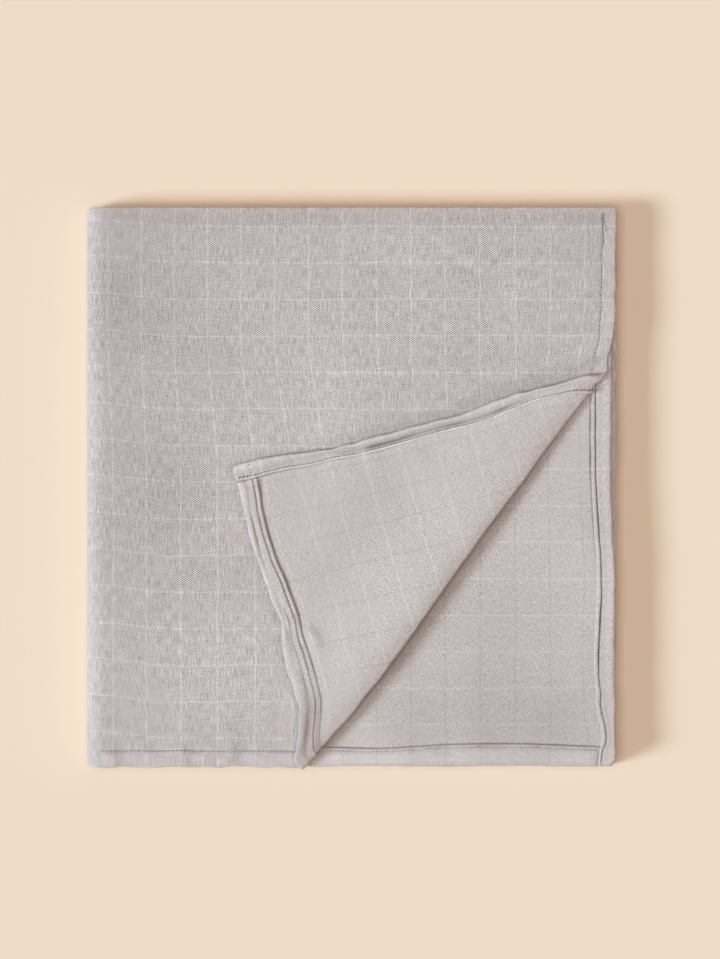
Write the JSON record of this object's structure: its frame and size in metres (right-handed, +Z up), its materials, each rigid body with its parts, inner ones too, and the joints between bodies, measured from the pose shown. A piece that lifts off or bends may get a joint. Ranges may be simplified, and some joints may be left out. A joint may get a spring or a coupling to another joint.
{
  "type": "folded muslin blanket",
  "caption": "Light muslin blanket folded into a flat rectangular pile, with one corner of the top layer turned back.",
  "frame": {"origin": "on the surface that the pile lies on, under the middle of its outline", "axes": "+X across the pile towards its side hems, +Y along it towards the folded edge away from the turned corner, +Z up"},
  "size_m": [0.286, 0.3027, 0.0261],
  "materials": {
    "muslin": "matt open plain weave with a raised self-coloured check"
  },
  "bodies": {
    "root": {"blanket": "muslin"}
  },
  "joints": []
}
